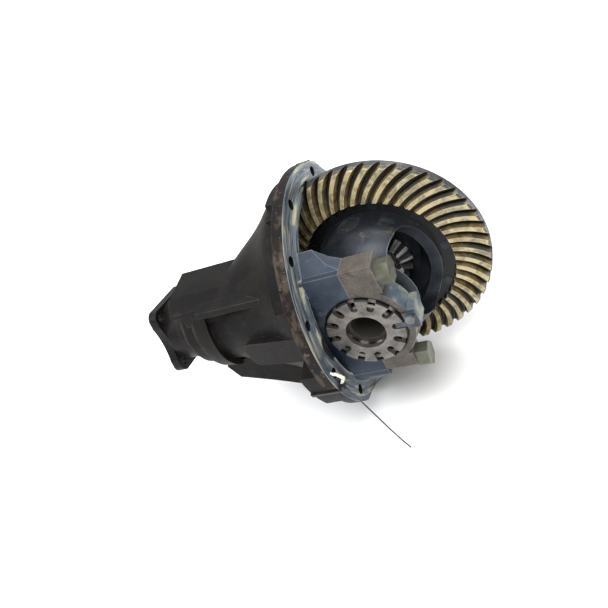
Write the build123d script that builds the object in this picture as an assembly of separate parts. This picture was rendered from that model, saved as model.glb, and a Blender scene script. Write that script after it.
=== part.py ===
from build123d import *
import os
from math import acos, atan, cos, degrees, pi, radians, sin, sqrt, tan

# Rear-axle final drive ("third member"), all sizes in millimetres.
# Origin: centre of the mounting flange on its rear (housing side) face.
# +X points rearwards along the pinion axis, +Y along the axle to the right, +Z up.

# ---------------------------------------------------------------- driving dimensions
AXLE_X = 44.5                 # differential centre line, behind the flange face
PINION_Y = -18.5              # pinion centre line, left of the flange centre
CASE_Y = -5.0                 # cross-shaft centre line

FLANGE_R = 143.0              # mounting flange
FLANGE_T = 13.0
FLANGE_PCD = 258.0
FLANGE_HOLE_R = 6.0
NUT_SEAT_R = 10.0             # spot face round each flange hole, on the front
NUT_SEAT_H = 3.0
FLANGE_ANGLES = [12.3 + 30 * i for i in range(5)] + [172.3 + 40 * i for i in range(5)]
SCALLOP_R = 150.0             # hollows in the rim between the wider spaced holes
SCALLOP_FLOOR_R = 133.5
SPIGOT_R = 121.0              # pilot that enters the axle housing
SPIGOT_H = 3.0
MOUTH_R = 115.0

RING_TEETH = 45               # final drive pair, spiral bevel, no offset
PINION_TEETH = 13
RING_PITCH_R = 121.6          # pitch radius at the heel
RING_FACE = 37.0
RING_R = 125.0
RING_BACK_Y = 34.0
RING_BORE_R = 71.6
RING_WEB_Y = 11.5
RING_BOLTS = 10
RING_BOLT_R = 79.0
RING_BOLT_PHASE = 3.0         # first ring bolt, from +X towards +Z
SPIRAL_TOE = 20.0             # spiral angle at the small end, degrees
SPIRAL_HEEL = 41.0            # spiral angle at the large end

SIDE_TEETH = 16               # differential gears, straight bevel
SPIDER_TEETH = 10
SIDE_PITCH_R = 36.0
SIDE_FACE = 15.0
CROSS_R = 9.0                 # cross shaft
AXLE_BORE_R = 16.5            # bore of the side gears for the axle shafts

LEFT_FACE = -100.5            # outer faces of the two bearing adjusters
RIGHT_FACE = 84.0
SADDLE_R = 43.2               # bearing saddles and adjusters
SADDLE_W = 27.0
CAP_R = 51.5
CAP_TOP_Z = 76.0
CAP_FOOT_Z = -71.0
CAP_BOLT_Z = 58.0
CAP_BOLT_R = 8.0
CAP_SEAT_X = 79.0             # seat of the cap bolt heads
CAP_HEAD = 14.0
HEX_AF = 24.0

NOSE_X = -189.0               # front end of the casting
NOSE_R = 51.5
DRIVE_FACE_X = -235.0         # front face of the drive flange
DRIVE_PLATE_T = 11.0
DRIVE_PCD = 90.0
DRIVE_HOLE_R = 5.5
DRIVE_PHASE = 34.0            # first ear, from +Y towards +Z
DRIVE_PILOT_R = 29.0
CASE_TILT = -6.0              # rest position of the cross shaft, from +Z towards +X
FIT = 0.05                    # running clearance on the radius

os.makedirs("parts", exist_ok=True)


# ---------------------------------------------------------------- helpers
def polar(radius, angle):
    return radius * cos(radians(angle)), radius * sin(radians(angle))


def on_pinion(x):
    """Plane on the pinion line: local x = +Y, local y = +Z, normal = +X."""
    return Plane(origin=(x, PINION_Y, 0), x_dir=(0, 1, 0), z_dir=(1, 0, 0))


def axle_turned(points):
    """Solid of revolution about the axle line from (radius, y) points."""
    wire = Polyline(*[(AXLE_X + r, y, 0) for r, y in points], close=True)
    return revolve(make_face(wire), Axis((AXLE_X, 0, 0), (0, 1, 0)), 360)


def pinion_turned(points, y=PINION_Y):
    """Solid of revolution about the pinion line from (x, radius) points."""
    wire = Polyline(*[(x, y + r, 0) for x, r in points], close=True)
    return revolve(make_face(wire), Axis((0, y, 0), (1, 0, 0)), 360)


def cylinder_y(radius, y0, y1, x=AXLE_X, z=0.0):
    disc = Plane(origin=(x, y0, z), x_dir=(1, 0, 0), z_dir=(0, 1, 0)) * Circle(radius)
    return extrude(disc, y1 - y0, dir=(0, 1, 0))


def cylinder_x(radius, x0, x1, y=PINION_Y, z=0.0):
    disc = Plane(origin=(x0, y, z), x_dir=(0, 1, 0), z_dir=(1, 0, 0)) * Circle(radius)
    return extrude(disc, x1 - x0, dir=(1, 0, 0))


def cylinder_z(radius, z0, z1, x=AXLE_X, y=CASE_Y):
    return extrude(Plane(origin=(x, y, z0)) * Circle(radius), z1 - z0, dir=(0, 0, 1))


def block(x0, x1, y0, y1, z0, z1):
    middle = Location(((x0 + x1) / 2, (y0 + y1) / 2, (z0 + z1) / 2))
    return middle * Box(x1 - x0, y1 - y0, z1 - z0)


def solids_of(shape):
    return list(shape.solids())


def merged(first, *rest):
    """Fuse all tools at once and return the one shape."""
    return first.fuse(*rest) if rest else first


def without(first, *tools):
    return first.cut(*tools)


def common(first, second):
    return group([first & second])


def group(items):
    found = []
    for item in items:
        found.extend(solids_of(item))
    return Compound(children=found) if len(found) > 1 else found[0]


# ---------------------------------------------------------------- bevel gear teeth
def involute(angle):
    return tan(angle) - angle


class Bevel:
    """One bevel gear of a pair: apex, axis directions, pitch cone and tooth proportions.

    `first`, `second` and `along` are the gear's own axes: teeth start at `first`, turn towards
    `second`, and `along` points from the apex to the gear.
    """

    def __init__(self, apex, first, second, along, teeth, mate, outer, face, sizes, pressure):
        self.apex = Vector(*apex)
        self.first, self.second, self.along = Vector(*first), Vector(*second), Vector(*along)
        self.teeth = teeth
        self.cone = atan(teeth / mate)
        self.outer, self.face = outer, face
        self.addendum, self.dedendum, self.thickness = sizes
        self.pressure = radians(pressure)

    def frame(self, distance, angle):
        """Pitch point at a cone distance, with the tangent and the outward normal there."""
        out = self.first * cos(angle) + self.second * sin(angle)
        tangent = self.second * cos(angle) - self.first * sin(angle)
        point = self.apex + out * (distance * sin(self.cone)) + self.along * (distance * cos(self.cone))
        normal = out * cos(self.cone) - self.along * sin(self.cone)
        return point, tangent, normal

    def half_outline(self, distance, points=4):
        """(height, half width) of a tooth from below its root up to its tip."""
        scale = distance / self.outer
        pitch = distance * tan(self.cone)
        base = pitch * cos(self.pressure)
        root, tip = pitch - self.dedendum * scale, pitch + self.addendum * scale
        middle = self.thickness * scale / (2 * pitch) + involute(self.pressure)
        low = max(root, base * 1.003)
        half = middle - involute(acos(base / low))
        spots = [(root - 0.9 * scale, half + (0.02 if low > root else 0.004))]
        for i in range(points):
            rho = low + (tip - low) * i / (points - 1)
            spots.append((rho, middle - involute(acos(base / rho))))
        return [(rho * cos(e) - pitch, rho * sin(e)) for rho, e in spots]

    def section(self, distance, angle, outline):
        point, tangent, normal = self.frame(distance, angle)
        loop = [(v, u) for v, u in outline] + [(v, -u) for v, u in reversed(outline)]
        corners = [point + tangent * u + normal * v for v, u in loop]
        return make_face(Polyline(*[(c.X, c.Y, c.Z) for c in corners], close=True))

    def tooth(self, angle, turn=None):
        stations = 5 if turn else 2
        sections = []
        for j in range(stations):
            distance = self.outer - self.face + self.face * j / (stations - 1)
            here = angle + (turn(distance) if turn else 0.0)
            sections.append(self.section(distance, here, self.half_outline(distance)))
        return loft(sections, ruled=not turn)

    def space(self, angle, turn, reach):
        """Straight-flanked cutter for one tooth space, reaching past both ends of the face."""
        sections = []
        for j in range(6):
            distance = self.outer - self.face - reach[0] + (self.face + sum(reach)) * j / 5
            scale = distance / self.outer
            pitch = 2 * pi * distance * sin(self.cone) / self.teeth
            half = (pitch - self.thickness * scale) / 2
            slope = tan(self.pressure)
            low, high = -self.dedendum * scale, self.addendum * scale + 2.5
            outline = [(low, half + low * slope), (high, half + high * slope)]
            sections.append(self.section(distance, angle + turn(distance), outline))
        return loft(sections)


def spiral_turn(distance, start, width, cone):
    """Angle the spiral has turned about the gear's axis from cone distance `start`."""
    steps = 24
    total = 0.0
    for i in range(steps):
        r = start + (distance - start) * (i + 0.5) / steps
        psi = radians(SPIRAL_TOE + (SPIRAL_HEEL - SPIRAL_TOE) * (r - start) / width)
        total += tan(psi) / (r * sin(cone)) * (distance - start) / steps
    return total


# ---------------------------------------------------------------- final drive pair
RING_CONE = atan(RING_TEETH / PINION_TEETH)
DRIVE_OUTER = RING_PITCH_R / sin(RING_CONE)
DRIVE_MODULE = 2 * RING_PITCH_R / RING_TEETH
DRIVE_PITCH = pi * DRIVE_MODULE
DRIVE_APEX = (AXLE_X, PINION_Y, 0)
RING_SIZES = (0.49 * DRIVE_MODULE, 1.40 * DRIVE_MODULE, 0.48 * DRIVE_PITCH)
PINION_SIZES = (1.20 * DRIVE_MODULE, 0.69 * DRIVE_MODULE, 0.48 * DRIVE_PITCH)
PINION_LAND = 0.6             # root cone runs this far past both ends of the teeth


def ring_spiral(distance):
    return -spiral_turn(distance, DRIVE_OUTER - RING_FACE, RING_FACE, RING_CONE)


def pinion_spiral(distance):
    return -ring_spiral(distance) * RING_TEETH / PINION_TEETH


def make_ring_gear():
    gear = Bevel(DRIVE_APEX, (1, 0, 0), (0, 0, 1), (0, 1, 0), RING_TEETH, PINION_TEETH,
                 DRIVE_OUTER, RING_FACE, RING_SIZES, 22.8)
    toe, heel = DRIVE_OUTER - RING_FACE, DRIVE_OUTER
    crest = []
    for distance in (toe, heel):
        point, _, normal = gear.frame(distance, 0)
        tip = point + normal * (RING_SIZES[0] * distance / heel)
        crest.append((tip.X - AXLE_X, tip.Y))
    blank = axle_turned([
        (RING_BORE_R, RING_WEB_Y), (crest[0][0] - 2.3, RING_WEB_Y), crest[0], crest[1],
        (RING_R, crest[1][1] + 3.5), (RING_R, RING_BACK_Y - 5), (RING_R - 6, RING_BACK_Y),
        (RING_BORE_R, RING_BACK_Y)])
    half_pitch = pi / RING_TEETH
    cutters = [gear.space(pi + 2 * half_pitch * k, ring_spiral, (6.0, 9.0)) for k in range(RING_TEETH)]
    holes = []
    for i in range(RING_BOLTS):
        x, z = polar(RING_BOLT_R, RING_BOLT_PHASE + 36 * i)
        holes.append(cylinder_y(5.1, RING_WEB_Y - 1, RING_BACK_Y + 1, AXLE_X + x, z))
    return without(blank, *cutters, *holes)


def make_pinion_teeth():
    gear = Bevel(DRIVE_APEX, (0, 1, 0), (0, 0, 1), (-1, 0, 0), PINION_TEETH, RING_TEETH,
                 DRIVE_OUTER, RING_FACE, PINION_SIZES, 22.8)
    return [gear.tooth(2 * pi * k / PINION_TEETH, pinion_spiral) for k in range(PINION_TEETH)], gear


def make_drive_pinion():
    teeth, gear = make_pinion_teeth()
    rim = []
    for distance in (DRIVE_OUTER - RING_FACE - PINION_LAND, DRIVE_OUTER + PINION_LAND):
        point, _, normal = gear.frame(distance, 0)
        root = point - normal * (PINION_SIZES[1] * distance / DRIVE_OUTER)
        rim.append((root.X, root.Y - PINION_Y))
    core = pinion_turned([
        (rim[0][0], 0), rim[0], rim[1], (rim[1][0] - 6, 29.5), (HEAD_X, 27.0), (HEAD_X, 22.0),
        (HEAD_X - 25.9, 22.0), (HEAD_X - 25.9, 19.0), (TAIL_X + 24, 19.0), (TAIL_X + 24, 16.0),
        (TAIL_X - 1.9, 16.0), (TAIL_X - 1.9, 15.5), (NUT_X + 2.2, 15.5), (NUT_X + 2.2, 11.0),
        (NUT_X - 18, 11.0), (NUT_X - 19.5, 9.5), (NUT_X - 19.5, 0)])
    return merged(core, *teeth)


# ---------------------------------------------------------------- differential gears
SIDE_CONE = atan(SIDE_TEETH / SPIDER_TEETH)
SIDE_OUTER = SIDE_PITCH_R / sin(SIDE_CONE)
SIDE_MODULE = 2 * SIDE_PITCH_R / SIDE_TEETH
CASE_CENTRE = (AXLE_X, CASE_Y, 0)
SIDE_SIZES = (0.75 * SIDE_MODULE, 1.12 * SIDE_MODULE, 0.47 * pi * SIDE_MODULE)
SPIDER_SIZES = (0.95 * SIDE_MODULE, 0.92 * SIDE_MODULE, 0.47 * pi * SIDE_MODULE)
SEAT = 38.5                   # thrust faces of the side gears, from the cross shaft
SIDE_HUB_R = 25.0
SPIDER_BACK_R = 49.2          # spherical back of the spider gears


def make_side_gear(side):
    """side = -1 left, +1 right."""
    gear = Bevel(CASE_CENTRE, (0, 0, 1), (1, 0, 0), (0, side, 0), SIDE_TEETH, SPIDER_TEETH,
                 SIDE_OUTER, SIDE_FACE, SIDE_SIZES, 24.0)
    pitch = 2 * pi / SIDE_TEETH
    teeth = [gear.tooth(pitch * (k + 0.5)) for k in range(SIDE_TEETH)]
    toe, heel = root_points(gear, SIDE_SIZES[1])
    inner = toe[1]
    ring = [(AXLE_BORE_R, inner), toe, heel, (heel[0], SEAT - 6), (31.0, SEAT - 0.8),
            (SIDE_HUB_R, SEAT - 0.8), (SIDE_HUB_R, SEAT + 15), (AXLE_BORE_R, SEAT + 15)]
    core = axle_turned([(r, CASE_Y + side * a) for r, a in ring])
    return merged(core, *teeth)


def root_points(gear, dedendum):
    """(radius, distance along the axis) of the root cone at toe and heel."""
    spots = []
    for distance in (gear.outer - gear.face, gear.outer):
        drop = dedendum * distance / gear.outer
        spots.append((distance * sin(gear.cone) - drop * cos(gear.cone),
                      distance * cos(gear.cone) + drop * sin(gear.cone)))
    return spots


def make_spider_gear(side):
    """side = +1 upper, -1 lower."""
    gear = Bevel(CASE_CENTRE, (0, 1, 0), (1, 0, 0), (0, 0, side), SPIDER_TEETH, SIDE_TEETH,
                 SIDE_OUTER, SIDE_FACE, SPIDER_SIZES, 24.0)
    teeth = [gear.tooth(2 * pi * k / SPIDER_TEETH) for k in range(SPIDER_TEETH)]
    toe, heel = root_points(gear, SPIDER_SIZES[1])
    rim = heel[0] + 1.5
    profile = [(CROSS_R + FIT, toe[1]), toe, heel, (rim, heel[1] + 2), (rim, 60), (CROSS_R + FIT, 60)]
    wire = Polyline(*[(AXLE_X + r, CASE_Y, side * a) for r, a in profile], close=True)
    core = revolve(make_face(wire), Axis(CASE_CENTRE, (0, 0, 1)), 360)
    ball = Location(CASE_CENTRE) * Sphere(SPIDER_BACK_R)
    return merged(common(core, ball), *teeth)


def make_side_washers():
    both = []
    for side in (-1, 1):
        y0, y1 = sorted((CASE_Y + side * (SEAT - 0.75), CASE_Y + side * SEAT))
        both.append(cylinder_y(31.0, y0, y1) - cylinder_y(SIDE_HUB_R + 0.3, y0, y1))
    return group(both)


def make_spider_washers():
    shell = Location(CASE_CENTRE) * (Sphere(SPIDER_BACK_R + 0.75) - Sphere(SPIDER_BACK_R + 0.05))
    both = []
    for side in (-1, 1):
        z0, z1 = sorted((side * 40.0, side * 60.0))
        both.append(shell & (cylinder_z(18.0, z0, z1) - cylinder_z(CROSS_R + 0.4, z0, z1)))
    return group(both)


# ---------------------------------------------------------------- tapered roller bearings
HEAD_X = -88.0                # large end of the head bearing cone
TAIL_X = -182.0               # large end of the tail bearing cone
NUT_X = -217.0                # drive flange washer, front side
TILT = radians(12.0)
ROLLER_CONE = radians(1.7)


class TaperBearing:
    """Tapered roller bearing: s runs from the large end of the cone towards its small end."""

    def __init__(self, turned, spot, bore, outside, width, count):
        self.turned, self.spot = turned, spot
        self.bore, self.outside, self.width, self.count = bore, outside, width, count
        depth = outside - bore
        self.big = 0.165 * depth
        self.s0, self.s1 = 0.17 * width, 0.90 * width
        self.mid = bore + 0.57 * depth

    def axis_r(self, s):
        return self.mid - (s - self.s0) * tan(TILT)

    def roller_r(self, s):
        return self.big - (s - self.s0) * tan(ROLLER_CONE) / cos(TILT)

    def outer_race(self, s):
        return self.axis_r(s) + self.roller_r(s) / cos(TILT) + FIT

    def inner_race(self, s):
        return self.axis_r(s) - self.roller_r(s) / cos(TILT) - FIT

    def cone(self):
        rib = self.s0 - self.big * sin(TILT) - 0.15
        top = self.axis_r(self.s0) - 0.1 * self.big
        return self.turned([
            (self.bore, 0), (top, 0), (top, rib), (self.inner_race(rib), rib),
            (self.inner_race(self.width), self.width), (self.bore, self.width)])

    def cup(self):
        near, far = 0.2 * self.width, 1.1 * self.width
        return self.turned([(self.outside, near), (self.outside, far),
                            (self.outer_race(far), far), (self.outer_race(near), near)])

    def roller(self, index, extra=0.0):
        angle = 2 * pi * index / self.count
        start, end = self.spot(self.axis_r(self.s0), self.s0, angle), self.spot(self.axis_r(self.s1), self.s1, angle)
        way = (end - start).normalized()
        plane = Plane(origin=start - way * extra, z_dir=way)
        return Solid.make_cone(self.big + extra, self.roller_r(self.s1) + extra,
                               (end - start).length + 2 * extra, plane)

    def rollers(self):
        return group([self.roller(i) for i in range(self.count)])

    def cage(self):
        a, b = self.s0 - self.big * sin(TILT) - 1.6, self.s1 + 2.2
        lift = 0.42 * self.big
        shell = self.turned([(self.axis_r(a) + lift, a), (self.axis_r(a) + lift + 1.1, a),
                             (self.axis_r(b) + lift + 0.9, b), (self.axis_r(b) + lift, b)])
        return without(shell, *[self.roller(i, 0.15) for i in range(self.count)])


def axle_bearing(y, side):
    """Large end at y, small end towards `side`."""
    def turned(points):
        return axle_turned([(r, y + side * s) for r, s in points])

    def spot(r, s, angle):
        return Vector(AXLE_X + r * cos(angle), y + side * s, r * sin(angle))
    return TaperBearing(turned, spot, 24.0, SADDLE_R - FIT, 20.0, 20)


def pinion_bearing(x, sense, bore, outside, width, count):
    def turned(points):
        return pinion_turned([(x + sense * s, r) for r, s in points])

    def spot(r, s, angle):
        return Vector(x + sense * s, PINION_Y + r * cos(angle), r * sin(angle))
    return TaperBearing(turned, spot, bore, outside, width, count)


LEFT_SEAT = LEFT_FACE + 28.5  # case shoulders the side bearings sit against
RIGHT_SEAT = RIGHT_FACE - 28.5
left_bearing = axle_bearing(LEFT_SEAT, -1)
right_bearing = axle_bearing(RIGHT_SEAT, 1)
head_bearing = pinion_bearing(HEAD_X, -1, 22.0, 45.0, 26.0, 18)
tail_bearing = pinion_bearing(TAIL_X, 1, 16.0, 36.0, 21.0, 16)


# ---------------------------------------------------------------- differential case
BULB_R = RING_BORE_R - FIT
CASE_FLANGE_R = 92.0
CASE_FLANGE_T = 11.0


def make_case():
    flange_end = RING_BACK_Y + CASE_FLANGE_T
    left_end, right_end = LEFT_SEAT - 20.5, RIGHT_SEAT + 20.5
    shoulder = [(AXLE_X + BULB_R * cos(t), -20.0 - 46.0 * sin(t)) for t in
                (radians(a) for a in (0, 15, 30, 45, 60))]
    dome = Spline(*[(x, y, 0) for x, y in shoulder])
    profile = [
        Polyline((shoulder[-1][0], shoulder[-1][1], 0), (AXLE_X + 31, LEFT_SEAT, 0),
                 (AXLE_X + 24, LEFT_SEAT, 0), (AXLE_X + 24, left_end, 0), (AXLE_X, left_end, 0),
                 (AXLE_X, right_end, 0), (AXLE_X + 24, right_end, 0), (AXLE_X + 24, RIGHT_SEAT, 0),
                 (AXLE_X + 31, RIGHT_SEAT, 0), (AXLE_X + 36, flange_end + 5, 0),
                 (AXLE_X + 66, flange_end, 0), (AXLE_X + CASE_FLANGE_R, flange_end, 0),
                 (AXLE_X + CASE_FLANGE_R, RING_BACK_Y, 0), (AXLE_X + BULB_R, RING_BACK_Y, 0),
                 (AXLE_X + BULB_R, -20.0, 0)),
        dome]
    face = make_face(Wire([e for part in profile for e in part.edges()]))
    body = revolve(face, Axis((AXLE_X, 0, 0), (0, 1, 0)), 360)
    hollow = axle_turned([(0, CASE_Y - 36), (44, CASE_Y - 36), (59, CASE_Y - 22), (59, CASE_Y + 22),
                          (44, CASE_Y + 36), (0, CASE_Y + 36)])
    hollow = without(hollow, cylinder_z(27.0, -80, 80))
    ball = Location(CASE_CENTRE) * Sphere(50.0)
    ball = ball & cylinder_y(60.0, CASE_Y - SEAT, CASE_Y + SEAT)
    tools = [hollow, ball, cylinder_z(CROSS_R + 0.02, -80, 80),
             cylinder_y(SIDE_HUB_R + FIT, CASE_Y - SEAT - 17, CASE_Y + SEAT + 17),
             cylinder_y(18.5, left_end - 1, right_end + 1)]
    window = Plane(origin=(AXLE_X - 90, -24.5, 0), x_dir=(0, 1, 0), z_dir=(1, 0, 0)) * \
        RectangleRounded(55, 104, 24)
    tools.append(extrude(window, 180, dir=(1, 0, 0)))
    for side in (-1, 1):
        recess = cylinder_z(14.0, *sorted((side * (BULB_R - 1.5), side * 80)))
        tools.append(recess - cylinder_z(CROSS_R + 2.5, -80, 80))
    tools.append(cylinder_x(2.55, AXLE_X - 75, AXLE_X - 5, CASE_Y, LOCK_PIN_Z))
    tools = [tilted(tool) for tool in tools]
    for x, z in ring_bolt_spots():
        tools.append(cylinder_y(5.1, RING_BACK_Y - 1, flange_end + 1, AXLE_X + x, z))
    return without(body, *tools)


LOCK_PIN_Z = 60.0


def tilted(shape):
    """Turn a piece made with the cross shaft upright to the case's rest position."""
    turn = Location((AXLE_X, 0, 0)) * Rotation(0, CASE_TILT, 0) * Location((-AXLE_X, 0, 0))
    return turn * shape


def ring_bolt_spots():
    return [polar(RING_BOLT_R, RING_BOLT_PHASE + 36 * i) for i in range(RING_BOLTS)]


def hex_head_y(x, z, y0, y1, across):
    face = Plane(origin=(x, y0, z), x_dir=(1, 0, 0), z_dir=(0, 1, 0)) * \
        RegularPolygon(across / 2, 6, major_radius=False)
    return extrude(face, y1 - y0, dir=(0, 1, 0))


def hex_head_x(y, z, x0, x1, across, turn=0.0):
    face = Plane(origin=(x0, y, z), x_dir=(0, 1, 0), z_dir=(1, 0, 0)) * \
        RegularPolygon(across / 2, 6, major_radius=False, rotation=turn)
    return extrude(face, x1 - x0, dir=(1, 0, 0))


def make_ring_bolts():
    bolts = []
    top = RING_BACK_Y + CASE_FLANGE_T
    for x, z in ring_bolt_spots():
        shank = cylinder_y(5.0, RING_WEB_Y - 0.8, top, AXLE_X + x, z)
        bolts.append(merged(shank, hex_head_y(AXLE_X + x, z, top, top + 6.5, 15.0)))
    return group(bolts)


def make_cross_shaft():
    shaft = cylinder_z(CROSS_R, -70.0, 70.0)
    return without(shaft, cylinder_x(2.5, AXLE_X - 75, AXLE_X + 1, CASE_Y, LOCK_PIN_Z))


def make_cross_shaft_pin():
    return cylinder_x(2.45, AXLE_X - 30.0, AXLE_X + 0.5, CASE_Y, LOCK_PIN_Z)


# ---------------------------------------------------------------- pinion line
def make_spacer():
    start, end = TAIL_X + 21.0, HEAD_X - 26.0
    mid = (start + end) / 2
    return pinion_turned([
        (start, 19.15), (start, 21.5), (mid - 9, 21.5), (mid, 26.0), (mid + 9, 21.5), (end, 21.5),
        (end, 19.15), (mid + 9, 19.15), (mid, 23.4), (mid - 9, 19.15)])


def make_slinger():
    return pinion_turned([(TAIL_X, 16.05), (TAIL_X, 27.0), (TAIL_X - 2, 29.0), (TAIL_X - 2, 16.05)])


def make_oil_seal():
    return pinion_turned([
        (NOSE_X, SEAL_R + FIT), (NOSE_X, 37.95), (NOSE_X + 4.4, 37.95), (NOSE_X + 4.4, SEAL_R + 6),
        (NOSE_X + 1.8, SEAL_R + 6), (NOSE_X + 1.8, SEAL_R + FIT)])


SEAL_R = 21.0
DRUM_R = 41.5


def ear_points():
    return [polar(DRIVE_PCD / 2, DRIVE_PHASE + 90 * i) for i in range(4)]


def make_drive_flange():
    plate_x = DRIVE_FACE_X + DRIVE_PLATE_T
    hub = pinion_turned([
        (TAIL_X - 2, 15.55), (TAIL_X - 2, SEAL_R), (NOSE_X - 6, SEAL_R), (NOSE_X - 8, 30.0),
        (NOSE_X - 10, DRUM_R), (plate_x + 2, DRUM_R), (plate_x - 1, DRUM_R - 1),
        (plate_x - 1, DRIVE_PILOT_R), (NUT_X + 3, DRIVE_PILOT_R), (NUT_X + 3, 15.55)])
    ears = [Location((y, z)) * Circle(11.5) for y, z in ear_points()]
    outline = make_hull(Sketch(children=ears).edges())
    for i in (1, 3):
        y, z = polar(128.5, DRIVE_PHASE + 45 + 90 * i)
        outline -= Location((y, z)) * Circle(88.5)
    outline += Circle(DRUM_R - 3)
    plate = extrude(on_pinion(DRIVE_FACE_X) * outline, DRIVE_PLATE_T, dir=(1, 0, 0))
    tools = [cylinder_x(DRIVE_PILOT_R, DRIVE_FACE_X - 1, plate_x + 1)]
    for y, z in ear_points():
        tools.append(cylinder_x(DRIVE_HOLE_R, DRIVE_FACE_X - 1, plate_x + 3, PINION_Y + y, z))
    return without(merged(plate, hub), *tools)


def make_dust_shield():
    return pinion_turned([
        (NOSE_X - 16, DRUM_R + 0.02), (NOSE_X - 16, 43.0), (NOSE_X - 7, 43.0), (NOSE_X - 4, 47.5),
        (NOSE_X - 2.2, 47.5), (NOSE_X - 2.2, 46.0), (NOSE_X - 5, 46.0), (NOSE_X - 10.2, DRUM_R + 0.02)])


def make_pinion_washer():
    return pinion_turned([(NUT_X, 11.2), (NUT_X, 21.0), (NUT_X + 3, 21.0), (NUT_X + 3, 15.8),
                          (NUT_X + 2.1, 15.8), (NUT_X + 2.1, 11.2)])


def make_pinion_nut():
    body = hex_head_x(PINION_Y, 0, NUT_X - 14, NUT_X, 34.0)
    collar = cylinder_x(20.5, NUT_X - 2.5, NUT_X)
    return without(merged(body, collar), cylinder_x(11.02, NUT_X - 15, NUT_X + 1))


# ---------------------------------------------------------------- adjusters, caps, locks
ADJUSTER_PROUD = 4.0          # adjuster face stands out of the pedestal face
SLOTS = 12
SLOT_W = 8.0
SLOT_BOTTOM_R = 28.5


def make_adjuster(side):
    face = RIGHT_FACE if side > 0 else LEFT_FACE
    def at(depth):
        return face + side * (ADJUSTER_PROUD - depth)
    inner = face - side * 6.5
    ring = axle_turned([
        (21.5, at(0)), (SADDLE_R - 1.5, at(0)), (SADDLE_R - FIT, at(1.5)), (SADDLE_R - FIT, inner),
        (37.5, inner), (37.5, at(5.5)), (21.5, at(5.5))])
    tools = []
    y0, y1 = sorted((at(-1), at(5.6)))
    for i in range(SLOTS):
        bar = block(SLOT_BOTTOM_R + SLOT_W / 2, 50, y0, y1, -SLOT_W / 2, SLOT_W / 2)
        end = cylinder_y(SLOT_W / 2, y0, y1, SLOT_BOTTOM_R + SLOT_W / 2, 0)
        tools.append(Location((AXLE_X, 0, 0)) * (Rotation(0, 30 * i, 0) * merged(bar, end)))
    return without(ring, *tools)


def span(side, width=SADDLE_W):
    face = RIGHT_FACE if side > 0 else LEFT_FACE
    return sorted((face, face - side * width))


def make_cap(side):
    y0, y1 = span(side)
    arch = cylinder_y(CAP_R, y0, y1)
    tools = [cylinder_y(SADDLE_R, y0 - 1, y1 + 1), block(AXLE_X - 80, AXLE_X + 0.05, y0 - 1, y1 + 1, -90, 90)]
    shoulders = []
    for z, z0, z1 in ((-CAP_BOLT_Z, CAP_FOOT_Z, -42), (CAP_BOLT_Z, 42, CAP_TOP_Z)):
        shoulders.append(block(AXLE_X, CAP_SEAT_X, y0, y1, z0, z1))
        tools.append(cylinder_x(CAP_BOLT_R + 0.4, 0, 120, (y0 + y1) / 2, z))
    lock_seat = block(AXLE_X + 40, AXLE_X + 57, y0, y1, -9, 15)
    tools += [lock_bolt_hole(side), foot_chamfer(side)]
    return without(merged(arch, lock_seat, *shoulders), *tools)


def foot_chamfer(side):
    """Slanted lower outside edge of the pedestals and caps."""
    face = RIGHT_FACE if side > 0 else LEFT_FACE
    points = [(1, -58.3), (1, CAP_FOOT_Z - 5), (-15.7, CAP_FOOT_Z - 5)]
    return prism_x([(face + side * a, z) for a, z in points], 4, CAP_SEAT_X + 30)


def make_cap_bolts(side):
    y0, y1 = span(side)
    middle = (y0 + y1) / 2
    bolts = []
    for z, turn in ((-CAP_BOLT_Z, 12), (CAP_BOLT_Z, -8)):
        head = hex_head_x(middle, z, CAP_SEAT_X, CAP_SEAT_X + CAP_HEAD, HEX_AF, turn)
        dome = cylinder_x(HEX_AF / 2 * 1.12, CAP_SEAT_X, CAP_SEAT_X + CAP_HEAD, middle, z)
        shank = cylinder_x(CAP_BOLT_R, AXLE_X - 40, CAP_SEAT_X + 1, middle, z)
        bolts.append(merged(head & dome, shank))
    return group(bolts)


LOCK_T = 2.5
LOCK_X = AXLE_X + 50.5
LOCK_Z = 6.5


def make_lock(side):
    face = RIGHT_FACE if side > 0 else LEFT_FACE
    y0, y1 = sorted((face, face + side * LOCK_T))
    high = sorted((face, face + side * (ADJUSTER_PROUD - 0.4)))
    plate = block(AXLE_X + 43.6, AXLE_X + 56, y0, y1, -7, 13)
    finger = block(AXLE_X + 33, AXLE_X + 46, *high, -2.6, 3.0)
    return without(merged(plate, finger), cylinder_y(3.3, y0 - 1, y1 + 1, LOCK_X, LOCK_Z))


def make_lock_bolts():
    bolts = []
    for side, face in ((-1, LEFT_FACE), (1, RIGHT_FACE)):
        seat = face + side * LOCK_T
        y0, y1 = sorted((seat, seat + side * 4.5))
        head = hex_head_y(LOCK_X, LOCK_Z, y0, y1, 9.0)
        s0, s1 = sorted((seat + side, face - side * 9))
        bolts.append(merged(head, cylinder_y(3.0, s0, s1, LOCK_X, LOCK_Z)))
    return group(bolts)


def lock_bolt_hole(side):
    face = RIGHT_FACE if side > 0 else LEFT_FACE
    y0, y1 = sorted((face + side, face - side * 10))
    return cylinder_y(3.1, y0, y1, LOCK_X, LOCK_Z)


# ---------------------------------------------------------------- carrier casting
BELL = ((-FLANGE_T, 119.0, 1.0), (-47.0, 114.0, 10.0), (-72.0, 92.5, 2.0), (-97.0, 77.0, -8.0),
        (-117.0, 65.0, -15.5), (-172.0, 58.0, PINION_Y))
HOLLOW = ((SPIGOT_H + 1, MOUTH_R, 0.0), (-FLANGE_T, 112.0, 1.0), (-45.0, 104.0, 8.0),
          (-68.0, 83.0, 2.0), (-86.0, 62.0, -8.0))


def round_loft(stations):
    circles = []
    for x, radius, y in stations:
        plane = Plane(origin=(x, y, 0), x_dir=(0, 1, 0), z_dir=(1, 0, 0))
        circles.append(plane * Circle(radius))
    return loft(circles)


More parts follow.
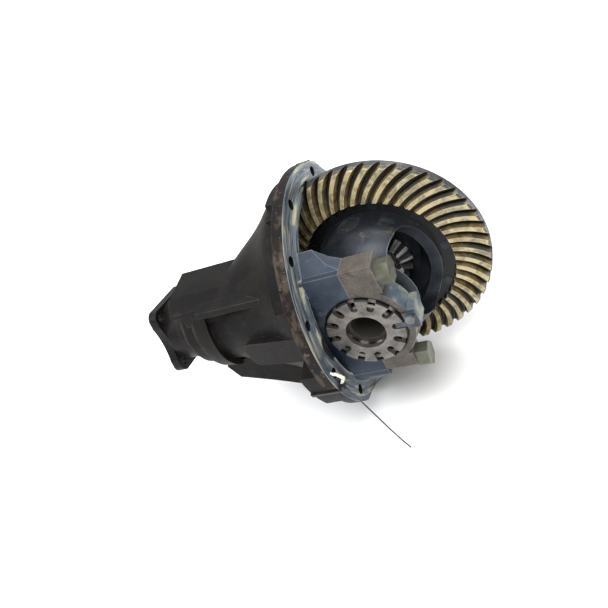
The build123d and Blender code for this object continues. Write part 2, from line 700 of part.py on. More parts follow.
def prism_y(points, y0, y1):
    face = make_face(Polyline(*[(x, y0, z) for x, z in points], close=True))
    return extrude(face, y1 - y0, dir=(0, 1, 0))


def prism_x(points, x0, x1):
    face = make_face(Polyline(*[(x0, y, z) for y, z in points], close=True))
    return extrude(face, x1 - x0, dir=(1, 0, 0))


def flange_spots():
    return [(-y, z) for z, y in (polar(FLANGE_PCD / 2, a) for a in FLANGE_ANGLES)]


def wedge(x0, radius, start, end):
    """Ring-shaped pad on the front of the flange between two angles from +Z towards -Y."""
    steps = [start + (end - start) * i / 4 for i in range(5)]
    rays = [(-y, z) for z, y in (polar(220.0, a) for a in steps)]
    return prism_x([(0, 0)] + rays, x0, -1) & cylinder_x(radius, x0, -1, 0)


def make_flange():
    flange = cylinder_x(FLANGE_R, -FLANGE_T, 0, 0)
    flange = flange & cylinder_x(FLANGE_R, -FLANGE_T, 0, -4)
    scallops = []
    for angle in (155.3, 192.3, 232.3, 272.3, 312.3):
        z, y = polar(SCALLOP_FLOOR_R + SCALLOP_R, angle)
        scallops.append(cylinder_x(SCALLOP_R, -FLANGE_T - 1, 1, -y, z))
    return without(flange, *scallops)


def pedestal(side):
    y0, y1 = span(side)
    stem = without(block(-62, AXLE_X, y0, y1, CAP_FOOT_Z, CAP_TOP_Z), foot_chamfer(side))
    upper = prism_y([(-8, 60), (-8, 122), (3, 112), (12, 102), (23, 91), (33, 82), (AXLE_X, CAP_TOP_Z),
                     (AXLE_X, 60)], y0, y1)
    lower = prism_y([(-8, -60), (-8, -122), (3, -108), (12, -96), (23, -84), (33, -76),
                     (AXLE_X, CAP_FOOT_Z), (AXLE_X, -60)], y0, y1)
    webs = merged(upper, lower) & cylinder_x(120.0, -10, 60, 0)
    return merged(stem, webs)


def make_tongue():
    """Raised tongue on the left of the bell, round at its front end."""
    plane = Plane(origin=(-61, -105, -3), x_dir=(0.955, -0.265, 0.13), z_dir=(-0.2674, -0.9636, 0.0))
    return extrude(plane * RectangleRounded(98, 33, 12), -32)


def make_housing():
    spigot = cylinder_x(SPIGOT_R, -1, SPIGOT_H, 0)
    bell = round_loft(BELL)
    nose = cylinder_x(NOSE_R, NOSE_X, -160)
    collar = pinion_turned([(-176, 0), (-176, 54.0), (-168, 60.0), (-150, 62.0), (-150, 0)])
    bulge = prism_x([(-66, 30), (-64, 50), (-46, 62), (2, 64), (14, 56), (14, 30)], -194, -70)
    bulge = without(bulge, block(-200, -180, -80, 30, 28, 44), cylinder_x(49.5, -200, NOSE_X))
    fin = prism_y([(-176, -52), (-167, -73), (-127, -88), (-87, -105), (-49, -120), (-13, -133),
                   (-13, -60), (-120, -40)], PINION_Y - 34, PINION_Y + 34)
    ledge = prism_x([(-60, 44), (-78, 46), (-78, 54), (-60, 56)], -150, -30)
    behind = block(-8, 200, -150, 150, -150, 150)
    parts = [make_flange(), spigot, nose, collar, bulge, fin, ledge, make_tongue(),
             pedestal(-1) & behind, pedestal(1) & behind,
             wedge(-34, 129.5, -22, 16), wedge(-28, 137.0, 46, 64), wedge(-32, 142.5, 96, 122)]
    spots = flange_spots()
    for y, z in spots:
        parts.append(cylinder_x(13.5, -FLANGE_T - NUT_SEAT_H, -1, y, z) & cylinder_x(FLANGE_R, -20, 0, 0))
    body = merged(bell, *parts)

    tools = [round_loft(HOLLOW), ring_sweep()]
    tools += [cylinder_y(SADDLE_R, LEFT_FACE - 5, LEFT_FACE + SADDLE_W + 1),
              cylinder_y(SADDLE_R, RIGHT_FACE - SADDLE_W - 1, RIGHT_FACE + 5)]
    tools += [cylinder_x(45.05, HEAD_X - 28.6, -80), cylinder_x(38.0, -125, HEAD_X - 20),
              cylinder_x(44.0, -154, -121), cylinder_x(30.5, TAIL_X + 20, -150),
              cylinder_x(36.05, NOSE_X - 1, TAIL_X + 23.1), cylinder_x(38.0, NOSE_X - 1, NOSE_X + 5.4)]
    for y, z in spots:
        tools.append(cylinder_x(FLANGE_HOLE_R, -60, 5, y, z))
        tools.append(cylinder_x(NUT_SEAT_R, -60, -FLANGE_T - NUT_SEAT_H, y, z))
    tools.append(cylinder_x(TIE_HOLE_R, -60, 5, *tie_spot(TIE_HOLE_AT)))
    for side in (-1, 1):
        middle = sum(span(side)) / 2
        for z in (-CAP_BOLT_Z, CAP_BOLT_Z):
            tools.append(cylinder_x(CAP_BOLT_R + 0.03, AXLE_X - 42, AXLE_X + 1, middle, z))
    solid = without(body, *tools)
    stems = [pedestal(side) & bell_keep() for side in (-1, 1)]
    stems = [without(s, *tools[1:]) for s in stems]
    return merged(solid, *stems)


def bell_keep():
    """Room the pedestals may fill inside the bell."""
    return round_loft([(x, r + 4.0, y) for x, r, y in HOLLOW[:-1]]) + block(0, AXLE_X, -120, 100, -125, 125)


def ring_sweep():
    """Running room for the ring gear and the case flange."""
    gap = 2.5
    return axle_turned([
        (60, 0), (RING_R + gap, 0), (RING_R + gap, RING_BACK_Y - 3), (RING_R - 4.5, RING_BACK_Y + gap),
        (CASE_FLANGE_R + gap, RING_BACK_Y + gap), (CASE_FLANGE_R + gap, 54), (30, 54), (30, -68), (60, -60)])


# ---------------------------------------------------------------- tie and tag
TIE_W = 3.6
TIE_T = 1.4
TIE_ANGLE = 108.2             # place on the rim, from +Z towards -Y
TIE_HOLE_AT = 133.0           # small hole beside the bolt hole, from the flange centre
TIE_HOLE_R = 2.8
TIE_BACK = -32.0              # front face of the pad the tie is drawn round


def tie_spot(radius):
    z, y = polar(radius, TIE_ANGLE)
    return -y, z


def make_cable_tie():
    """Nylon tie through a small hole, drawn round the flange rim, tail hanging free."""
    half = TIE_T / 2 + 0.4
    inner, outer = TIE_HOLE_AT, FLANGE_R + half
    corners = [(half, inner), (half, outer), (TIE_BACK - half, outer), (TIE_BACK - half, inner)]
    path = FilletPolyline(*[(x, *tie_spot(r)) for x, r in corners], radius=0.9, close=True)
    y, z = tie_spot(1.0)
    across = Vector(1, 0, 0).cross(Vector(0, y, z))
    start = Plane(origin=path @ 0, x_dir=across, z_dir=path % 0)
    band = sweep(start * Rectangle(TIE_W, TIE_T), path=path, transition=Transition.ROUND)
    head_at = (half, *tie_spot(138.0))
    head = extrude(Plane(origin=head_at, x_dir=across, z_dir=(1, 0, 0)) * Rectangle(6.4, 7.0), 5.0)
    tail_path = Spline((4.5, *tie_spot(138.0)), (24.0, -147.0, -58.0), (43.0, -159.0, -88.0),
                       (58.0, -166.0, -113.0))
    tail_plane = Plane(origin=tail_path @ 0, x_dir=across, z_dir=tail_path % 0)
    tail = sweep(tail_plane * Rectangle(TIE_W - 0.6, TIE_T), path=tail_path)
    return merged(head, band, tail)


def make_hang_tag():
    """Torn stub of a paper tag on the tie."""
    base = Plane(origin=(8.0, -135.7, -22.6), x_dir=(0.188, -0.22, 0.957), z_dir=(0.105, -0.965, -0.243))
    outline = Polyline((-16.2, -1.5), (-9.6, -4.9), (-4.7, -6.4), (0.5, -3), (5.5, 0.7), (6, 4), (8.4, 6),
                       (5.8, 7.1), (1.3, 5.3), (0, 2.2), (-7.5, -2), (-16.2, 1.5), close=True)
    return extrude(base * make_face(outline), 0.6)


# ---------------------------------------------------------------- write every piece
PIECES = {
    "carrier_housing": make_housing,
    "bearing_cap_left": lambda: make_cap(-1),
    "bearing_cap_right": lambda: make_cap(1),
    "cap_bolts_left": lambda: make_cap_bolts(-1),
    "cap_bolts_right": lambda: make_cap_bolts(1),
    "bearing_adjuster_left": lambda: make_adjuster(-1),
    "bearing_adjuster_right": lambda: make_adjuster(1),
    "adjuster_lock_left": lambda: make_lock(-1),
    "adjuster_lock_right": lambda: make_lock(1),
    "adjuster_lock_bolts": make_lock_bolts,
    "side_bearing_cup_left": left_bearing.cup,
    "side_bearing_cup_right": right_bearing.cup,
    "pinion_head_bearing_cup": head_bearing.cup,
    "pinion_tail_bearing_cup": tail_bearing.cup,
    "pinion_oil_seal": make_oil_seal,
    "cable_tie": make_cable_tie,
    "hang_tag": make_hang_tag,
    "differential_case": make_case,
    "ring_gear": make_ring_gear,
    "ring_gear_bolts": make_ring_bolts,
    "side_bearing_cone_left": left_bearing.cone,
    "side_bearing_cone_right": right_bearing.cone,
    "cross_shaft": lambda: tilted(make_cross_shaft()),
    "cross_shaft_pin": lambda: tilted(make_cross_shaft_pin()),
    "side_gear_washers": lambda: tilted(make_side_washers()),
    "spider_gear_washers": lambda: tilted(make_spider_washers()),
    "side_gear_left": lambda: tilted(make_side_gear(-1)),
    "side_gear_right": lambda: tilted(make_side_gear(1)),
    "spider_gear_upper": lambda: tilted(make_spider_gear(1)),
    "spider_gear_lower": lambda: tilted(make_spider_gear(-1)),
    "side_bearing_rollers_left": left_bearing.rollers,
    "side_bearing_cage_left": left_bearing.cage,
    "side_bearing_rollers_right": right_bearing.rollers,
    "side_bearing_cage_right": right_bearing.cage,
    "pinion_head_rollers": head_bearing.rollers,
    "pinion_head_cage": head_bearing.cage,
    "pinion_tail_rollers": tail_bearing.rollers,
    "pinion_tail_cage": tail_bearing.cage,
    "drive_pinion": make_drive_pinion,
    "pinion_head_bearing_cone": head_bearing.cone,
    "pinion_tail_bearing_cone": tail_bearing.cone,
    "pinion_spacer": make_spacer,
    "oil_slinger": make_slinger,
    "drive_flange": make_drive_flange,
    "dust_shield": make_dust_shield,
    "pinion_washer": make_pinion_washer,
    "pinion_nut": make_pinion_nut,
}

for name, make in PIECES.items():
    export_step(group([make()]), f"parts/{name}.step")
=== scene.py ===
from math import radians

import bpy
from mathutils import Matrix, Vector


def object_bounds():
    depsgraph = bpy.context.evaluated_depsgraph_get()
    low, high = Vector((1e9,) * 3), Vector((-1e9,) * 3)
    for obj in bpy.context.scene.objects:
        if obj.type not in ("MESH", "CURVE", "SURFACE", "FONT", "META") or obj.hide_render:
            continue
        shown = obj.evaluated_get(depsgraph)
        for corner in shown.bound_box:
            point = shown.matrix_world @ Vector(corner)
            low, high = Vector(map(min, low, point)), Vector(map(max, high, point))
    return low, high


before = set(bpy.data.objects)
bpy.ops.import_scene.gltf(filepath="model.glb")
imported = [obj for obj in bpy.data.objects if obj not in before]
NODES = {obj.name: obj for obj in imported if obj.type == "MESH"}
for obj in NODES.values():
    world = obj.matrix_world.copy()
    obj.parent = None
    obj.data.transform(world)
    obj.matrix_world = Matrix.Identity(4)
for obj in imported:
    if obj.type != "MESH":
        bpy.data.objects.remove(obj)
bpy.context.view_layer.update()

# sizes that the looks follow, in metres; radii in the casting are about its X axis unless said
AXLE_X = 0.0445               # differential centre line
FLANGE_T = 0.0130             # flange thickness; its rear face is x = 0
RIM_R = 0.1300                # the rim's scuffs begin here
PILOT_H = 0.0034              # just above the raised pilot
MOUTH_R = 0.1160              # edge of the casting's mouth
BELL_CENTRE = [(-0.086, -0.005), (-0.070, 0.002), (-0.046, 0.009), (-FLANGE_T, 0.001), (0.004, 0.0)]
BELL_WALL = [(-0.090, 0.0), (-0.086, 0.072), (-0.070, 0.088), (-0.046, 0.109), (-FLANGE_T, 0.1155)]
SADDLE_R = 0.0438             # bearing saddles, about the axle
CAP_ARCH_R = 0.0505
CAP_SEAT_X = 0.0760
ADJUSTER_R = 0.0412
CASE_HUB_R = 0.0325
RING_TOE_R = 0.0866           # the ring gear's face cone starts here, at RING_FACE_Y
RING_FACE_Y = 0.0046
RING_FACE_SLOPE = 0.271
RING_RIM_R = 0.1236

# the photograph's viewpoint
CAMERA_PLACE = (0.30531, -0.6249, 0.43213)
CAMERA_RIGHT = (0.87885, 0.20605, -0.43032)
CAMERA_UP = (0.20468, 0.65189, 0.73017)
CAMERA_LENS = 41.447          # mm, on a sensor 36 mm wide
FLOOR_HALF = 120.0
FLOOR_GAP = 0.0005


# ---------------------------------------------------------------- shader building blocks
class Shader:
    """One procedural material. Values are floats, colours or node sockets."""

    def __init__(self, name):
        self.material = bpy.data.materials.new(name)
        self.material.use_nodes = True
        self.tree = self.material.node_tree
        self.bsdf = self.tree.nodes["Principled BSDF"]
        self.where = self.node("ShaderNodeTexCoord").outputs["Object"]

    def node(self, kind, **settings):
        made = self.tree.nodes.new(kind)
        for key, value in settings.items():
            setattr(made, key, value)
        return made

    def feed(self, socket, value):
        if isinstance(value, bpy.types.NodeSocket):
            self.tree.links.new(value, socket)
        elif isinstance(value, tuple) and len(value) == 3 and socket.type == "RGBA":
            socket.default_value = (*value, 1.0)
        else:
            socket.default_value = value

    def math(self, operation, a, b=0.0):
        made = self.node("ShaderNodeMath", operation=operation)
        self.feed(made.inputs[0], a)
        self.feed(made.inputs[1], b)
        return made.outputs[0]

    def plus(self, a, b):
        return self.math("ADD", a, b)

    def times(self, a, b):
        return self.math("MULTIPLY", a, b)

    def ramp(self, value, low, high, out_low=0.0, out_high=1.0, kind="SMOOTHSTEP"):
        """Smooth step of value from low..high to out_low..out_high."""
        made = self.node("ShaderNodeMapRange", interpolation_type=kind)
        self.feed(made.inputs["Value"], value)
        self.feed(made.inputs["From Min"], low)
        self.feed(made.inputs["From Max"], high)
        self.feed(made.inputs["To Min"], out_low)
        self.feed(made.inputs["To Max"], out_high)
        return made.outputs[0]

    def follow(self, value, points):
        """Piecewise straight curve through (value, result) points."""
        total = points[0][1]
        for (x0, y0), (x1, y1) in zip(points, points[1:]):
            total = self.plus(self.ramp(value, x0, x1, 0.0, y1 - y0, "LINEAR"), total)
        return total

    def mix(self, amount, a, b):
        made = self.node("ShaderNodeMix", data_type="RGBA", clamp_factor=True)
        self.feed(made.inputs[0], amount)
        self.feed(made.inputs[6], a)
        self.feed(made.inputs[7], b)
        return made.outputs[2]

    def noise(self, scale, detail=4.0, rough=0.6, distort=0.0, place=None):
        made = self.node("ShaderNodeTexNoise")
        self.feed(made.inputs["Vector"], place or self.where)
        made.inputs["Scale"].default_value = scale
        made.inputs["Detail"].default_value = detail
        made.inputs["Roughness"].default_value = rough
        made.inputs["Distortion"].default_value = distort
        return made.outputs[0]

    def patches(self, scale, low, high, amount=1.0, rough=0.62, **more):
        """Ragged patches, 0..amount."""
        return self.times(self.ramp(self.noise(scale, 6.0, rough, **more), low, high), amount)

    def axes(self):
        made = self.node("ShaderNodeSeparateXYZ")
        self.feed(made.inputs[0], self.where)
        return made.outputs[0], made.outputs[1], made.outputs[2]

    def radius(self, a, b):
        return self.math("SQRT", self.plus(self.times(a, a), self.times(b, b)))

    def from_axle(self, x, z):
        return self.radius(self.math("SUBTRACT", x, AXLE_X), z)

    def around(self, a, b, along, turn=0.25, reach=3.0):
        """Coordinates that stretch a noise into streaks round the axis normal to a and b."""
        made = self.node("ShaderNodeCombineXYZ")
        self.feed(made.inputs[0], self.times(self.radius(a, b), reach))
        self.feed(made.inputs[1], self.times(self.math("ARCTAN2", a, b), turn * 0.12))
        self.feed(made.inputs[2], along)
        return made.outputs[0]

    def edges(self, size):
        """1 on corners and edges, 0 on open faces."""
        bevel = self.node("ShaderNodeBevel", samples=4)
        bevel.inputs["Radius"].default_value = size
        flat = self.node("ShaderNodeNewGeometry")
        dot = self.node("ShaderNodeVectorMath", operation="DOT_PRODUCT")
        self.feed(dot.inputs[0], bevel.outputs[0])
        self.feed(dot.inputs[1], flat.outputs["Normal"])
        return self.ramp(dot.outputs["Value"], 0.995, 0.90)

    def bump(self, height, strength, distance):
        made = self.node("ShaderNodeBump")
        made.inputs["Strength"].default_value = strength
        made.inputs["Distance"].default_value = distance
        self.feed(made.inputs["Height"], height)
        self.feed(self.bsdf.inputs["Normal"], made.outputs[0])

    def finish(self, colour, rough, metallic=0.0, specular=0.35):
        self.feed(self.bsdf.inputs["Base Color"], colour)
        self.feed(self.bsdf.inputs["Roughness"], rough)
        self.feed(self.bsdf.inputs["Metallic"], metallic)
        self.feed(self.bsdf.inputs["Specular IOR Level"], specular)
        return self.material


# ---------------------------------------------------------------- materials
def steel(name, base, dark, rough=0.35, metallic=0.85, grain=900.0,
          stain=(0.10, 0.085, 0.045), stained=0.3, wear=0.0006):
    """Machined or ground steel with oil film, faint grain and brighter worn edges."""
    s = Shader(name)
    film = s.ramp(s.noise(38.0, 5.0), 0.35, 0.68)
    colour = s.mix(film, base, dark)
    colour = s.mix(s.patches(85.0, 0.54, 0.70, stained), colour, stain)
    bright = tuple(min(1.0, c * 1.9 + 0.05) for c in base)
    colour = s.mix(s.times(s.edges(wear), 0.6), colour, bright)
    fine = s.noise(grain, 3.0)
    s.bump(fine, 0.18, 0.0003)
    gloss = s.times(s.plus(film, s.times(fine, 0.6)), 0.14)
    return s.finish(colour, s.plus(gloss, rough - 0.08), metallic)


def paint(s, rusty=0.30, wear=0.0009):
    """Worn satin black: brownish film, pin-prick rust and bare edges."""
    swirl = s.noise(26.0, 5.0)
    colour = s.mix(s.ramp(swirl, 0.35, 0.68), (0.0048, 0.0048, 0.0054), (0.0120, 0.0100, 0.0086))
    colour = s.mix(s.patches(70.0, 0.54, 0.74, rusty), colour, (0.034, 0.023, 0.017))
    bare = s.times(s.edges(wear), s.ramp(swirl, 0.40, 0.60, 0.15, 0.75))
    colour = s.mix(bare, colour, (0.105, 0.085, 0.068))
    return colour, swirl


def casting():
    """Carrier casting: satin black paint outside, oily blue-grey bare iron behind and inside."""
    s = Shader("carrier_iron")
    x, y, z = s.axes()
    reach = s.radius(y, z)
    outside, swirl = paint(s)
    rim = s.times(s.ramp(x, -FLANGE_T - 0.002, -FLANGE_T), s.ramp(reach, RIM_R, RIM_R + 0.004))
    scuffs = s.patches(55.0, 0.50, 0.62, 0.8, place=s.around(y, z, x, 0.6, 1.2))
    outside = s.mix(s.times(rim, scuffs), outside, (0.062, 0.047, 0.037))
    outside = s.mix(s.times(rim, s.patches(160.0, 0.60, 0.68, 0.8, 0.7)), outside, (0.15, 0.105, 0.075))
    outside = s.mix(s.times(rim, s.patches(75.0, 0.66, 0.71, 0.8, 0.7)), outside, (0.125, 0.045, 0.015))

    cloud = s.ramp(s.noise(17.0, 4.0, 0.55), 0.36, 0.64)
    iron = s.mix(cloud, (0.013, 0.021, 0.038), (0.040, 0.052, 0.072))
    level = s.times(s.ramp(x, -0.0010, 0.0), s.ramp(x, PILOT_H + 0.0012, PILOT_H))
    face = s.times(s.ramp(reach, MOUTH_R - 0.005, MOUTH_R), level)
    streaks = s.around(y, z, x)
    # painted reflection: a pale blue sheen streaked over the flange face
    reflected_sheen = s.patches(60.0, 0.36, 0.58, 0.85, 0.55, place=streaks)
    cream = s.patches(85.0, 0.50, 0.63, 0.95, 0.6, distort=0.3, place=streaks)
    iron = s.mix(s.times(face, reflected_sheen), iron, (0.150, 0.185, 0.225))
    iron = s.mix(s.times(face, cream), iron, (0.46, 0.44, 0.33))
    iron = s.mix(s.patches(36.0, 0.60, 0.76, 0.35, distort=0.6), iron, (0.20, 0.20, 0.17))
    iron = s.mix(s.patches(120.0, 0.64, 0.73, 0.7, 0.7), iron, (0.055, 0.024, 0.011))
    # painted shade: darker blue-grey inside the mouth, deepening further into the bell
    mouth = s.ramp(reach, MOUTH_R, MOUTH_R - 0.004)
    iron = s.mix(s.times(mouth, s.ramp(x, 0.0, -0.030)), iron, (0.016, 0.020, 0.028))
    iron = s.mix(s.times(s.edges(0.0010), 0.6), iron, (0.30, 0.31, 0.32))
    # painted shade: near-black on the saddle bores, where the bearings sit in them
    iron = s.mix(s.ramp(s.from_axle(x, z), SADDLE_R + 0.0012, SADDLE_R), iron, (0.010, 0.010, 0.011))

    sideways = s.math("SUBTRACT", y, s.follow(x, BELL_CENTRE))
    beyond = s.math("SUBTRACT", s.radius(sideways, z), s.follow(x, BELL_WALL))
    painted = s.times(s.ramp(x, -0.0002, -0.0010), s.ramp(beyond, -0.0006, 0.0006))
    colour = s.mix(painted, iron, outside)
    rough = s.plus(s.times(painted, 0.10), s.plus(0.27, s.times(swirl, 0.26)))
    s.bump(s.plus(s.noise(620.0, 5.0, 0.7), s.times(s.noise(180.0, 3.0), 1.4)), 0.40, 0.0009)
    bare = s.math("SUBTRACT", 1.0, painted)
    return s.finish(colour, rough, s.times(bare, 0.40), s.plus(s.times(bare, 0.25), 0.10))


def cap_iron():
    """Bearing caps: grey-brown blasted iron, creamy oil stain and painted highlight along the arch."""
    s = Shader("cap_iron")
    x, y, z = s.axes()
    grit = s.noise(900.0, 4.0, 0.75)
    base = s.mix(s.ramp(s.noise(60.0, 5.0), 0.35, 0.7), (0.058, 0.048, 0.040), (0.098, 0.084, 0.072))
    base = s.mix(s.times(s.ramp(grit, 0.52, 0.68), 0.55), base, (0.22, 0.20, 0.18))
    reach = s.from_axle(x, z)
    arch = s.times(s.ramp(reach, CAP_ARCH_R, CAP_ARCH_R + 0.0007), s.ramp(x, CAP_SEAT_X, CAP_SEAT_X + 0.008))
    # oil stain and painted highlight: lighter blue-grey and cream over the curved arch
    stain = s.mix(s.patches(40.0, 0.44, 0.62, 0.9), (0.070, 0.095, 0.130), (0.27, 0.28, 0.22))
    colour = s.mix(arch, base, stain)
    colour = s.mix(s.patches(75.0, 0.62, 0.72, 0.6), colour, (0.028, 0.024, 0.022))
    colour = s.mix(s.times(s.edges(0.0008), 0.5), colour, (0.27, 0.25, 0.22))
    # painted shade: near-black on the saddle bores, where the bearings sit in them
    colour = s.mix(s.ramp(reach, SADDLE_R + 0.0012, SADDLE_R), colour, (0.010, 0.010, 0.011))
    s.bump(grit, 0.55, 0.0008)
    return s.finish(colour, s.plus(0.40, s.times(grit, 0.22)), 0.35)


def case_iron():
    """Differential case: dark blue-grey, oily, with a cream smear near the ring gear."""
    s = Shader("case_iron")
    x, y, z = s.axes()
    swirl = s.noise(24.0, 5.0)
    colour = s.mix(s.ramp(swirl, 0.34, 0.68), (0.014, 0.017, 0.023), (0.038, 0.043, 0.050))
    reach = s.from_axle(x, z)
    cream = s.times(s.patches(60.0, 0.54, 0.72, 0.45), s.ramp(reach, 0.062, 0.071))
    colour = s.mix(cream, colour, (0.22, 0.21, 0.15))
    colour = s.mix(s.ramp(reach, CASE_HUB_R + 0.0005, CASE_HUB_R), colour, (0.085, 0.080, 0.070))
    colour = s.mix(s.patches(140.0, 0.60, 0.72, 0.5, 0.7), colour, (0.010, 0.009, 0.008))
    colour = s.mix(s.times(s.edges(0.0010), 0.6), colour, (0.20, 0.21, 0.23))
    s.bump(s.noise(420.0, 4.0, 0.65), 0.32, 0.0007)
    return s.finish(colour, s.plus(0.24, s.times(swirl, 0.28)), 0.45)


def ring_steel():
    """Ring gear: khaki oil-stained teeth with painted highlights on the crests and painted shade darkening the
    roots, black web, grey rim and back.
    """
    s = Shader("ring_steel")
    x, y, z = s.axes()
    reach = s.from_axle(x, z)
    face = s.plus(RING_FACE_Y, s.times(s.math("SUBTRACT", reach, RING_TOE_R), RING_FACE_SLOPE))
    depth = s.math("SUBTRACT", y, face)
    streak = s.noise(75.0, 6.0, 0.68, 0.8)
    khaki = s.mix(s.ramp(streak, 0.34, 0.66), (0.095, 0.066, 0.026), (0.270, 0.205, 0.095))
    khaki = s.mix(s.patches(34.0, 0.46, 0.62), khaki, (0.085, 0.080, 0.062))
    khaki = s.mix(s.patches(210.0, 0.58, 0.68, 0.9, 0.75), khaki, (0.030, 0.017, 0.009))
    # painted highlight: lighter khaki on the tooth crests
    crest_highlight = s.times(s.ramp(depth, 0.0012, 0.0), s.ramp(streak, 0.40, 0.58, 0.25, 0.85))
    khaki = s.mix(crest_highlight, khaki, (0.50, 0.42, 0.25))
    # painted shade: near-black deep in the tooth roots
    colour = s.mix(s.ramp(depth, 0.0095, 0.0035), (0.012, 0.009, 0.006), khaki)
    grey = s.mix(s.ramp(s.noise(55.0, 5.0), 0.4, 0.65), (0.040, 0.044, 0.048), (0.095, 0.093, 0.085))
    rim = s.ramp(reach, RING_RIM_R, RING_RIM_R + 0.0006)
    colour = s.mix(rim, colour, grey)
    colour = s.mix(s.ramp(reach, RING_TOE_R - 0.0006, RING_TOE_R - 0.0016), colour, (0.012, 0.012, 0.013))
    worn = s.times(s.edges(0.0008), s.ramp(depth, 0.0060, 0.0020, 0.10, 0.75))
    colour = s.mix(worn, colour, (0.70, 0.64, 0.46))
    s.bump(s.noise(500.0, 4.0, 0.7), 0.28, 0.0006)
    return s.finish(colour, s.plus(0.28, s.times(streak, 0.28)), s.plus(0.28, s.times(rim, 0.3)))


def adjuster_steel():
    """Bearing adjusters: dull grey steel with a black ring of painted shade round the thread, where it meets
    the housing.
    """
    s = Shader("adjuster_steel")
    x, y, z = s.axes()
    reach = s.from_axle(x, z)
    film = s.noise(48.0, 5.0)
    colour = s.mix(s.ramp(film, 0.35, 0.66), (0.205, 0.190, 0.175), (0.085, 0.080, 0.074))
    colour = s.mix(s.patches(150.0, 0.58, 0.70, 0.7, 0.7), colour, (0.060, 0.046, 0.036))
    colour = s.mix(s.times(s.edges(0.0006), 0.6), colour, (0.50, 0.48, 0.45))
    # painted shade: near-black ring at the outer edge, in the gap round the thread
    colour = s.mix(s.ramp(reach, ADJUSTER_R, ADJUSTER_R + 0.0008), colour, (0.016, 0.015, 0.015))
    s.bump(s.noise(1400.0, 3.0), 0.2, 0.0003)
    return s.finish(colour, s.plus(0.32, s.times(film, 0.22)), 0.70)


def black_paint(name, rusty=0.25):
    s = Shader(name)
    colour, swirl = paint(s, rusty, 0.0008)
    s.bump(s.noise(520.0, 4.0, 0.65), 0.3, 0.0006)
    return s.finish(colour, s.plus(0.30, s.times(swirl, 0.26)), 0.05, 0.14)


def soft(name, base, light, rough, scale=300.0):
    """Rubber, nylon and paper."""
    s = Shader(name)
    colour = s.mix(s.ramp(s.noise(90.0, 5.0), 0.4, 0.65), base, light)
    s.bump(s.noise(scale, 3.0), 0.2, 0.0003)
    return s.finish(colour, s.plus(rough, s.times(s.noise(200.0), 0.1)))


LOOKS = {
    "casting": casting(),
    "cap": cap_iron(),
    "case": case_iron(),
    "ring": ring_steel(),
    "adjuster": adjuster_steel(),
    "drive": black_paint("drive_paint"),
    "shield": black_paint("shield_paint", 0.6),
    "bolt": steel("cap_bolt_steel", (0.125, 0.130, 0.100), (0.070, 0.070, 0.050), 0.42, 0.5, 700.0,
                  (0.20, 0.17, 0.07), 0.8),
    "small_bolt": steel("small_bolt_steel", (0.16, 0.165, 0.165), (0.075, 0.078, 0.080), 0.40, 0.75),
    "lock": steel("lock_steel", (0.075, 0.085, 0.100), (0.040, 0.045, 0.055), 0.38, 0.65, 800.0, stained=0.4),
    "black_bolt": steel("black_bolt_steel", (0.032, 0.036, 0.044), (0.014, 0.015, 0.018), 0.36, 0.6, 800.0),
    "race": steel("race_steel", (0.26, 0.25, 0.23), (0.13, 0.12, 0.11), 0.26, 0.9, 1600.0, wear=0.0004),
    "roller": steel("roller_steel", (0.36, 0.35, 0.33), (0.20, 0.19, 0.17), 0.20, 0.95, 1800.0, stained=0.2,
                    wear=0.0003),
    "cage": steel("cage_steel", (0.12, 0.11, 0.10), (0.055, 0.050, 0.045), 0.38, 0.8, wear=0.0003),
    "gear": steel("gear_steel", (0.17, 0.172, 0.168), (0.070, 0.070, 0.068), 0.28, 0.8, 1000.0, wear=0.0007),
    "pinion": steel("pinion_steel", (0.19, 0.17, 0.13), (0.090, 0.078, 0.055), 0.30, 0.8, 1000.0, wear=0.0005),
    "shaft": steel("shaft_steel", (0.20, 0.20, 0.19), (0.09, 0.09, 0.085), 0.28, 0.85, 1400.0),
    "seal": soft("seal_rubber", (0.010, 0.010, 0.010), (0.022, 0.022, 0.021), 0.55),
    "nylon": soft("tie_nylon", (0.006, 0.006, 0.007), (0.015, 0.015, 0.016), 0.38),
    "paper": soft("tag_paper", (0.80, 0.78, 0.72), (0.58, 0.52, 0.40), 0.80, 700.0),
}

LOOK_OF = {
    "casting": ["carrier_housing"],
    "cap": ["bearing_cap_left", "bearing_cap_right"],
    "case": ["differential_case"],
    "ring": ["ring_gear"],
    "drive": ["drive_flange"],
    "shield": ["dust_shield"],
    "adjuster": ["bearing_adjuster_left", "bearing_adjuster_right"],
    "bolt": ["cap_bolts_left", "cap_bolts_right"],
    "small_bolt": ["adjuster_lock_bolts", "cross_shaft_pin"],
    "lock": ["adjuster_lock_left", "adjuster_lock_right"],
    "black_bolt": ["ring_gear_bolts", "pinion_nut", "pinion_washer"],
    "race": ["side_bearing_cup_left", "side_bearing_cup_right", "side_bearing_cone_left",
             "side_bearing_cone_right", "pinion_head_bearing_cup", "pinion_tail_bearing_cup",
             "pinion_head_bearing_cone", "pinion_tail_bearing_cone"],
    "roller": ["side_bearing_rollers_left", "side_bearing_rollers_right", "pinion_head_rollers",
               "pinion_tail_rollers"],
    "cage": ["side_bearing_cage_left", "side_bearing_cage_right", "pinion_head_cage", "pinion_tail_cage"],
    "gear": ["side_gear_left", "side_gear_right", "spider_gear_upper", "spider_gear_lower"],
    "pinion": ["drive_pinion"],
    "shaft": ["cross_shaft", "side_gear_washers", "spider_gear_washers", "pinion_spacer", "oil_slinger"],
    "seal": ["pinion_oil_seal"],
    "nylon": ["cable_tie"],
    "paper": ["hang_tag"],
}
BEVELS = {"casting": 0.0012, "cap": 0.0012, "case": 0.0010, "drive": 0.0012, "bolt": 0.0006, "adjuster": 0.0005}


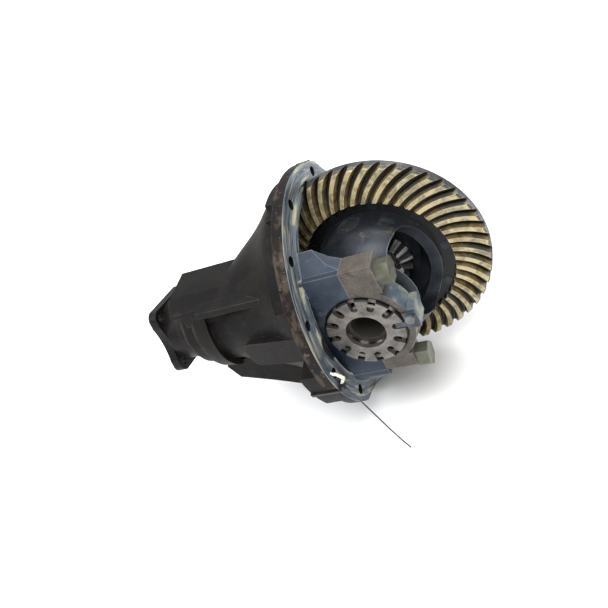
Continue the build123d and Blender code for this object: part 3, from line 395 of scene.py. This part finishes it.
def dress(node, look):
    """Material, small bevels and smooth shading on a carried-over CAD node."""
    piece = NODES[node]
    piece.data.materials.clear()
    piece.data.materials.append(LOOKS[look])
    for polygon in piece.data.polygons:
        polygon.use_smooth = True
    if look in BEVELS:
        weld = piece.modifiers.new("weld", "WELD")
        weld.merge_threshold = 0.00001
        bevel = piece.modifiers.new("bevel", "BEVEL")
        bevel.width = BEVELS[look]
        bevel.segments = 2
        bevel.limit_method = "ANGLE"
        bevel.angle_limit = radians(38)
        bevel.harden_normals = False
        bevel.use_clamp_overlap = True
    normals = piece.modifiers.new("normals", "WEIGHTED_NORMAL")
    normals.keep_sharp = True
    normals.weight = 60


for look, names in LOOK_OF.items():
    for node in names:
        dress(node, look)


# ---------------------------------------------------------------- floor, light and camera
def add_floor():
    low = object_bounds()[0][2]
    floor_mesh = bpy.data.meshes.new("floor")
    size = FLOOR_HALF
    corners = [(-size, -size, 0), (size, -size, 0), (size, size, 0), (-size, size, 0)]
    floor_mesh.from_pydata(corners, [], [(0, 1, 2, 3)])
    floor = bpy.data.objects.new("floor", floor_mesh)
    floor.location = (0, 0, low - FLOOR_GAP)
    bpy.context.collection.objects.link(floor)
    s = Shader("floor_white")
    tint = s.mix(s.noise(2.0), (0.93, 0.93, 0.93), (0.96, 0.96, 0.96))
    floor_mesh.materials.append(s.finish(tint, 0.9))


def add_light(name, place, target, size, power, colour=(1, 1, 1)):
    lamp = bpy.data.lights.new(name, "AREA")
    lamp.shape = "DISK"
    lamp.size = size
    lamp.energy = power
    lamp.color = colour
    holder = bpy.data.objects.new(name, lamp)
    holder.location = place
    holder.rotation_euler = (Vector(target) - Vector(place)).to_track_quat("-Z", "Y").to_euler()
    bpy.context.collection.objects.link(holder)


def add_world():
    """Bright overhead, dimmer towards the horizon, like a large softbox above a light table."""
    world = bpy.data.worlds.new("studio")
    world.use_nodes = True
    tree = world.node_tree
    split = tree.nodes.new("ShaderNodeSeparateXYZ")
    fade = tree.nodes.new("ShaderNodeMapRange")
    tree.links.new(tree.nodes.new("ShaderNodeTexCoord").outputs["Generated"], split.inputs[0])
    tree.links.new(split.outputs[2], fade.inputs["Value"])
    fade.inputs["To Min"].default_value = 0.28
    fade.inputs["To Max"].default_value = 1.75
    back = tree.nodes["Background"]
    back.inputs[0].default_value = (1.0, 1.0, 1.0, 1.0)
    tree.links.new(fade.outputs[0], back.inputs[1])
    bpy.context.scene.world = world


def add_camera():
    """Camera at the photograph's angle, from its right and up directions."""
    right = Vector(CAMERA_RIGHT)
    up = Vector(CAMERA_UP)
    back = right.cross(up).normalized()
    up = back.cross(right).normalized()
    turn = Matrix((right, up, back)).transposed().to_4x4()
    data = bpy.data.cameras.new("camera")
    data.sensor_width = 36.0
    data.lens = CAMERA_LENS
    data.clip_end = 400.0
    camera = bpy.data.objects.new("camera", data)
    camera.matrix_world = Matrix.Translation(CAMERA_PLACE) @ turn
    bpy.context.collection.objects.link(camera)
    bpy.context.scene.camera = camera


add_floor()
add_world()
add_light("key", (0.3, -1.0, 1.6), (0, 0, 0), 1.1, 24.0)
add_light("left", (-1.2, -0.7, 1.0), (0, 0, 0), 0.8, 8.0, (0.86, 0.93, 1.0))
add_light("back", (0.5, 1.1, 1.2), (0, 0, 0), 0.8, 10.0)
add_camera()
bpy.context.scene.view_settings.view_transform = "Standard"
